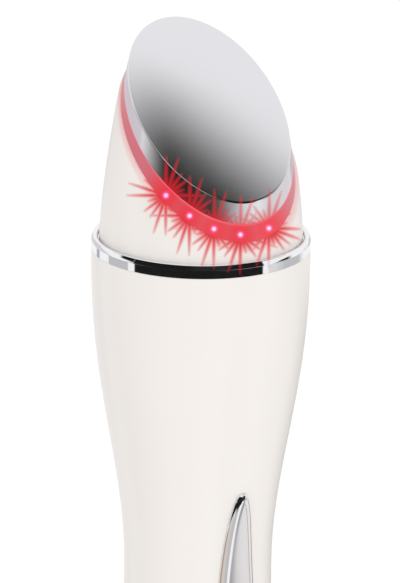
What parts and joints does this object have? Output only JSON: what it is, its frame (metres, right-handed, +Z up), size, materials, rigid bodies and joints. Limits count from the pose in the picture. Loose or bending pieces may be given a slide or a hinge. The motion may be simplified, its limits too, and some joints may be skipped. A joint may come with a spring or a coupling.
{
  "type": "heated eye massager wand",
  "caption": "Slender waisted massager wand with a slanted polished heated plate, a red light ring under its rim, a chrome neck ring and a pointed inlay with a power button.",
  "frame": {"origin": "middle of the flat base", "axes": "+Z up the wand to the head; -Y is the front, which the slanted plate, the inlay and the power button face; +X to the right seen from the front"},
  "size_m": [0.028, 0.028, 0.1416],
  "materials": {
    "polished_plate": "mirror-polished steel",
    "glow_ring": "translucent, lit red from inside",
    "led_red": "clear LED lens, lit",
    "shell_white": "warm white, soft gloss",
    "trim_chrome": "bright plated",
    "inlay_satin": "satin silver",
    "moulded_white": "as moulded",
    "heater_amber": "polyimide film",
    "foam_grey": "closed-cell foam or soft rubber",
    "seal_black": "moulded seal",
    "bare_steel": "plain",
    "board_green": "solder mask",
    "chip_black": "moulded epoxy",
    "connector_ivory": "moulded nylon",
    "cell_wrap": "shrink-wrapped",
    "wire_red": "PVC insulation",
    "wire_yellow": "PVC insulation",
    "wire_blue": "PVC insulation"
  },
  "bodies": {
    "handle": {"massage_plate": "polished_plate", "heater_film": "heater_amber", "thermistor": "chip_black", "heater_pad": "foam_grey", "plate_gasket": "foam_grey", "light_ring": "glow_ring", "red_leds": "led_red", "led_board": "board_green", "plate_carrier": "moulded_white", "plate_screws": "bare_steel", "head_shell": "shell_white", "chrome_ring": "trim_chrome", "neck_seal": "seal_black", "neck_frame": "moulded_white", "neck_screws": "bare_steel", "motor_can": "bare_steel", "motor_end_cap": "chip_black", "motor_boot": "foam_grey", "handle_sleeve": "shell_white", "inlay_bezel": "trim_chrome", "inlay_face": "inlay_satin", "tact_switch": "bare_steel", "control_board": "board_green", "board_components": "chip_black", "wire_connectors": "connector_ivory", "chassis": "moulded_white", "chassis_screws": "bare_steel", "battery_cell": "cell_wrap", "battery_tabs": "bare_steel", "battery_strip": "foam_grey", "charge_board": "board_green", "charging_socket": "bare_steel", "socket_tongue": "chip_black", "end_cap": "shell_white", "end_cap_seal": "seal_black", "heater_leads": "wire_red", "led_leads": "wire_yellow", "motor_leads": "wire_blue", "charge_leads": "wire_red"},
    "power_button": {"power_button": "inlay_satin", "switch_plunger": "chip_black"},
    "motor_rotor": {"motor_shaft": "bare_steel", "eccentric_weight": "bare_steel"}
  },
  "joints": [
    {"name": "button_press", "type": "slide", "parent": "handle", "child": "power_button", "axis": [0, 1, 0], "range_m": [0, 0.00035], "stiffness_N_per_m": 1500},
    {"name": "motor_spin", "type": "hinge", "parent": "handle", "child": "motor_rotor", "pos_m": [0, 0, 0.11], "axis": [0, 0, 1], "continuous": true}
  ]
}
